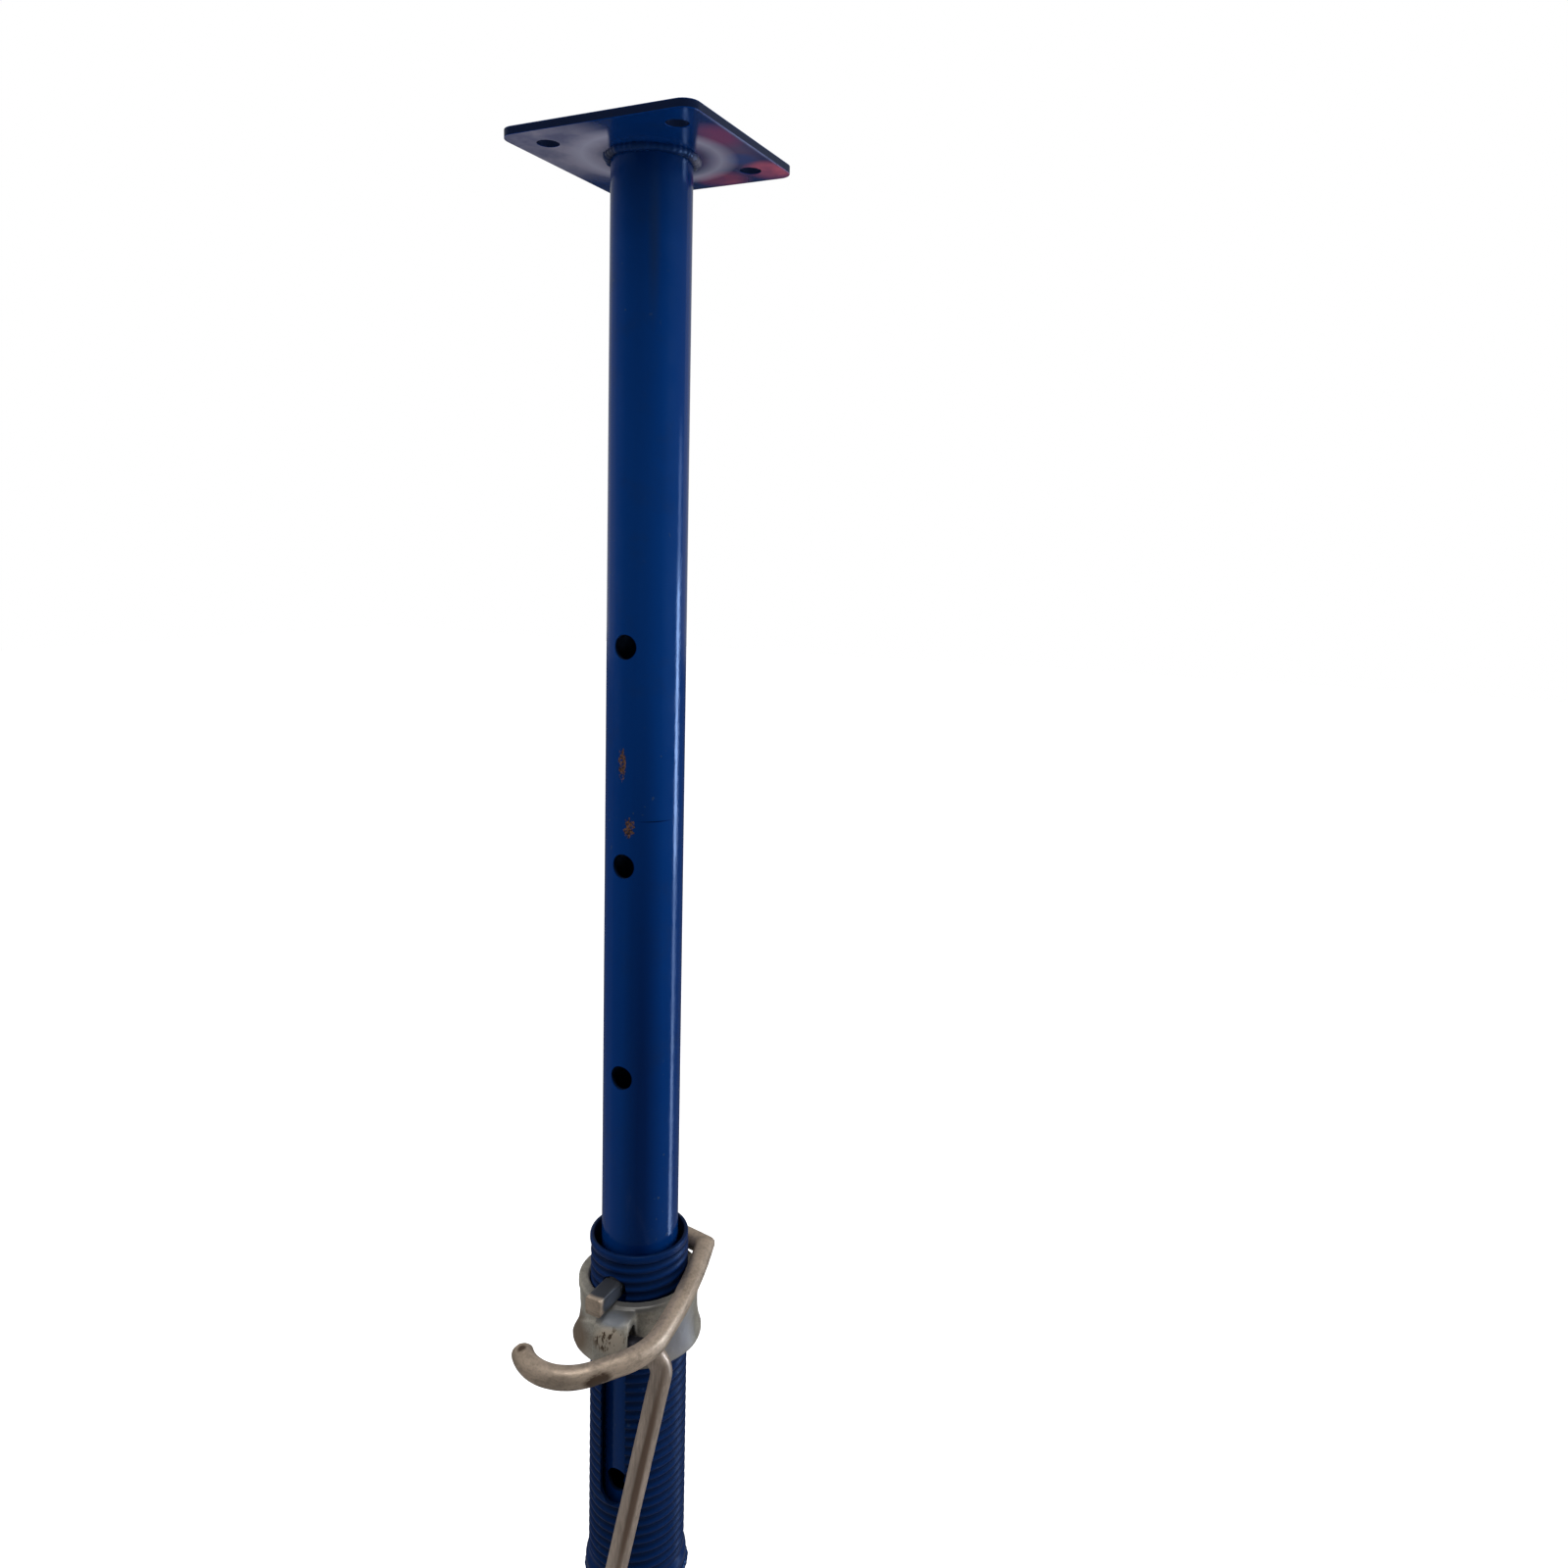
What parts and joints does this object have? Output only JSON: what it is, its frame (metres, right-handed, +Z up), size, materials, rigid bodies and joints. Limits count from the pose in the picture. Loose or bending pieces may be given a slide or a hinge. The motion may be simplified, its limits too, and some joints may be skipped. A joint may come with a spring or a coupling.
{
  "type": "adjustable steel prop",
  "caption": "Telescopic steel prop with flat end plates, pin-hole height steps and a threaded sleeve with a cast nut, folding handle and G pin for fine adjustment.",
  "frame": {"origin": "centre of the base plate's underside, on the tubes' axis", "axes": "+Z up the tubes towards the head plate; -Y towards the pin's tip, so the slots and pin holes run along Y; +X towards the pin's loop"},
  "size_m": [0.125, 0.1811, 1.729],
  "materials": {
    "blue_paint": "gloss",
    "painted_weld": "satin",
    "cast_zinc": "satin",
    "zinc_bar": "satin"
  },
  "bodies": {
    "outer": {"base_plate": "blue_paint", "base_weld": "painted_weld", "outer_tube": "blue_paint", "sleeve_weld": "painted_weld", "thread_sleeve": "blue_paint"},
    "inner": {"inner_tube": "blue_paint", "head_weld": "painted_weld", "head_plate": "blue_paint"},
    "nut": {"prop_nut": "cast_zinc"},
    "handle": {"nut_handle": "zinc_bar"},
    "pin": {"g_pin": "zinc_bar"}
  },
  "joints": [
    {"name": "lift", "type": "slide", "parent": "outer", "child": "inner", "axis": [0, 0, 1], "range_m": [-0.132, 0]},
    {"name": "nut_turn", "type": "hinge", "parent": "inner", "child": "nut", "pos_m": [0, 0, 1.0375], "axis": [0, 0, 1], "range_deg": [-7920, 0]},
    {"name": "handle_swing", "type": "hinge", "parent": "nut", "child": "handle", "pos_m": [0.0099, -0.04287, 1.017], "axis": [-0.9744, -0.225, 0], "range_deg": [0, 90]},
    {"name": "pin_pull", "type": "slide", "parent": "inner", "child": "pin", "axis": [0, 1, 0], "range_m": [0, 0.065]}
  ],
  "couplings": [
    {"joint": "lift", "follows": "nut_turn", "m_per_rad": 0.00095493}
  ]
}
